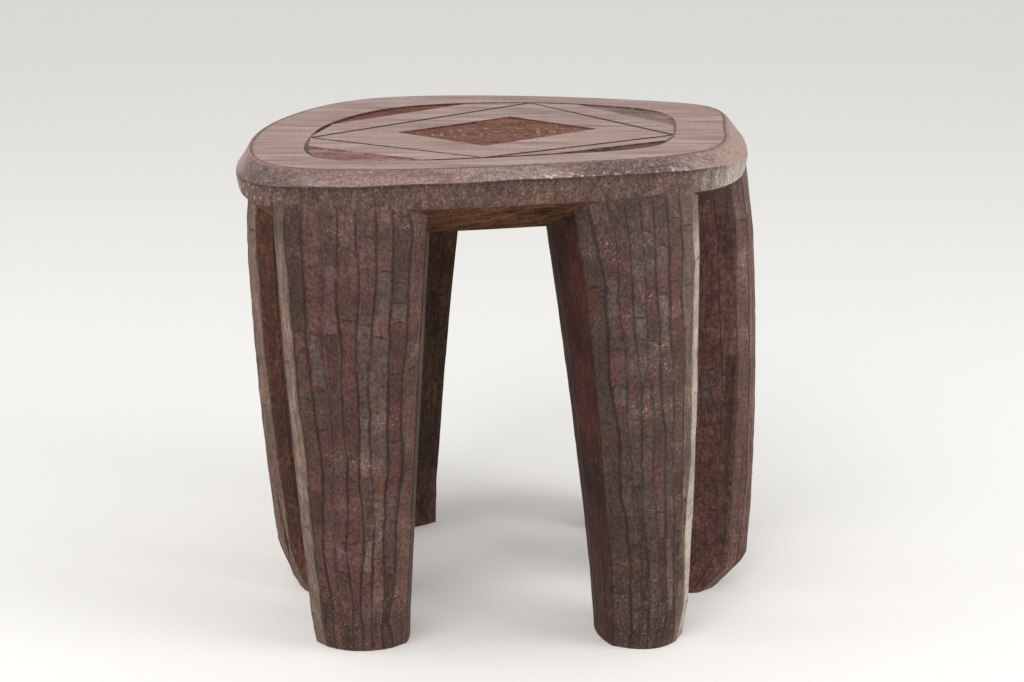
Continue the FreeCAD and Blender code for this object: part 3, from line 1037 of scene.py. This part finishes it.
def makeSeatFinish(finishName):
    look = seatFinishes[finishName]
    finish, tree, shader = newFinish(finishName + "Hardwood")
    add = partial(addNode, tree)
    where = add("TexCoord").outputs["Object"]
    wear, dotHighlight, dirtAndShade, bareAndLit, chip = [
        add("Attribute", attribute_name=name).outputs["Fac"]
        for name in ("wear", "dotHighlight", "dirtAndShade", "bareAndLit", "chip")
    ]
    broad, narrow = [
        add("Mapping", {"Vector": where, "Scale": [1 / d for d in look[name]]}) for name in ("grain", "fine")
    ]
    streak, fibre, patch, fleck, ragged = [
        add("TexNoise", {"Vector": vector, "Scale": 1 / size, "Detail": detail, "Roughness": rough})
        for vector, size, detail, rough in (
            (broad, 1.0, 4.0, 0.6), (narrow, 1.0, 3.0, 0.5), (where, look["patchSize"], 3.0, 0.5),
            (where, look["fleckSize"], 2.0, 0.5), (where, 0.0032, 3.0, 0.5),
        )
    ]

    # grain, patches and flecks, and worn arrises with a ragged edge
    both = add("Math", (fibre, 0.6, streak), operation='MULTIPLY_ADD')
    contrast = add("MapRange", (both, look["spread"][0], look["spread"][1]))
    wood = add("ValToRGB", {"Fac": contrast})
    setStops(wood.color_ramp, list(zip((0.0, 0.5, 1.0), look["colours"])))
    torn = add("Math", (ragged, 0.9, wear), operation='MULTIPLY_ADD')
    for cause, start, full, most, colour in (
        (patch, 0.45, 0.70, "patchShare", "patch"), (fleck, 0.58, 0.78, "fleckShare", "fleck"),
        (torn, 0.60, 0.72, "wearShare", "wearLine"), (torn, 1.12, 1.26, "wearShare", "wear"),
    ):
        if colour in look:
            share = add("MapRange", (cause, start, full, 0.0, look[most]))
            wood = add("Mix", {0: share, 6: wood, 7: look[colour]}, data_type='RGBA')

    # pale ends from wear and painted light, grit, chips, painted highlight in the punched dots, and dirt and
    # painted shade
    if "bareAndLit" in look:
        streaky = add("MapRange", (both, 0.60, 0.90, 0.30, 1.0))
        share = add("Math", (bareAndLit, streaky), operation='MULTIPLY')
        wood = add("Mix", {0: share, 6: wood, 7: look["bareAndLit"]}, data_type='RGBA')
    gain = add("MapRange", (fleck, 0.3, 0.7, 1 - look["grit"], 1 + look["grit"]))
    wood = add("VectorMath", {0: wood, "Scale": gain}, operation='SCALE')
    chipped = add("MapRange", (ragged, 0.56, 0.64))
    thin = add("MapRange", (fleck, 0.35, 0.65, 1.0, 0.5))
    # the pale colour in the punched dots is a painted highlight; the dark colour is dirt in the lines and
    # painted shade under the bevel, the rim and the seat
    for amount, part, colour in ((chip, chipped, "chip"), (dotHighlight, 1.0, "dotHighlight"), (dirtAndShade, thin, "dirt")):
        if colour in look:
            share = add("Math", (amount, part), operation='MULTIPLY')
            wood = add("Mix", {0: share, 6: wood, 7: look[colour]}, data_type='RGBA')

    rough = add("MapRange", (streak, 0.3, 0.7, look["rough"][0], look["rough"][1]))
    relief = add("Math", (fleck, 0.5, both), operation='MULTIPLY_ADD')
    bump = add("Bump", {"Strength": 0.5, "Distance": look["bump"], "Height": relief})
    coverWood(tree, shader, wood, rough, bump, look["specular"])
    return finish


seatWoods = [makeSeatFinish(name) for name in seatFinishes]
carveSeat()


# stage: plain pale floor, soft studio light, camera as in the photograph

stageSet = {
    "floorSize": 30.0,
    "floorColour": "#f3f1ed",
    "floorPaler": 0.17,
    "skyColour": "#f4f3f0",
    "skyLight": 0.55,
    "lamps": {
        "softboxFront": {"at": (-0.7, -1.9, 1.8), "to": (0.0, 0.0, 0.15), "size": 1.6, "watts": 22.0},
        "softboxRight": {"at": (1.7, -0.8, 0.9), "to": (0.0, 0.0, 0.2), "size": 1.2, "watts": 18.0},
        "softboxLeft": {"at": (-1.8, -0.3, 0.8), "to": (0.0, 0.0, 0.2), "size": 1.2, "watts": 9.0},
    },
    "cameraAt": (0.00408, -1.26707, 0.504),
    "cameraPitch": 15.0,
    "lens": 70.3125,
}


def seenShare(tree):
    # 1 for what the camera and reflections see, 0 for what lights the stool
    rays = addNode(tree, "LightPath").outputs
    return addNode(tree, "Math", (rays["Is Camera Ray"], rays["Is Glossy Ray"]), operation='MAXIMUM')


def putInPlace(name, data, at, turn):
    thing = bpy.data.objects.new(name, data)
    thing.location, thing.rotation_euler = at, turn
    bpy.context.scene.collection.objects.link(thing)
    return thing


def makeStage():
    scene = bpy.context.scene
    bpy.ops.mesh.primitive_plane_add(size=stageSet["floorSize"], location=(0, 0, 0))
    floor = bpy.context.object
    floor.name = "floor"
    paint, tree, shader = newFinish("paleMattFloor")
    for name in ("Base Color", "Emission Color"):
        shader.inputs[name].default_value = hexColour(stageSet["floorColour"])
    shader.inputs["Roughness"].default_value = 0.85
    # a little paler as a background than as a surface that lights the stool
    paler = addNode(tree, "Math", (seenShare(tree), stageSet["floorPaler"]), operation='MULTIPLY')
    tree.links.new(paler.outputs[0], shader.inputs["Emission Strength"])
    floor.data.materials.append(paint)

    scene.world = bpy.data.worlds.new("studio")
    scene.world.use_nodes = True
    tree = scene.world.node_tree
    tree.nodes.clear()
    light = addNode(tree, "Background", {"Color": "#ffffff", "Strength": stageSet["skyLight"]})
    sky = addNode(tree, "Background", {"Color": stageSet["skyColour"], "Strength": 1.0})
    mixed = addNode(tree, "MixShader", (seenShare(tree), light, sky))
    addNode(tree, "OutputWorld", {"Surface": mixed})

    for name, lamp in stageSet["lamps"].items():
        data = bpy.data.lights.new(name, 'AREA')
        data.shape, data.size, data.energy = 'DISK', lamp["size"], lamp["watts"]
        aim = Vector(lamp["to"]) - Vector(lamp["at"])
        putInPlace(name, data, lamp["at"], aim.to_track_quat('-Z', 'Y').to_euler())

    data = bpy.data.cameras.new("photoView")
    data.lens = stageSet["lens"]
    turn = (math.radians(90.0 - stageSet["cameraPitch"]), 0.0, 0.0)
    scene.camera = putInPlace("photoView", data, stageSet["cameraAt"], turn)
    scene.view_settings.view_transform = 'Standard'
    print("stage set")


makeStage()
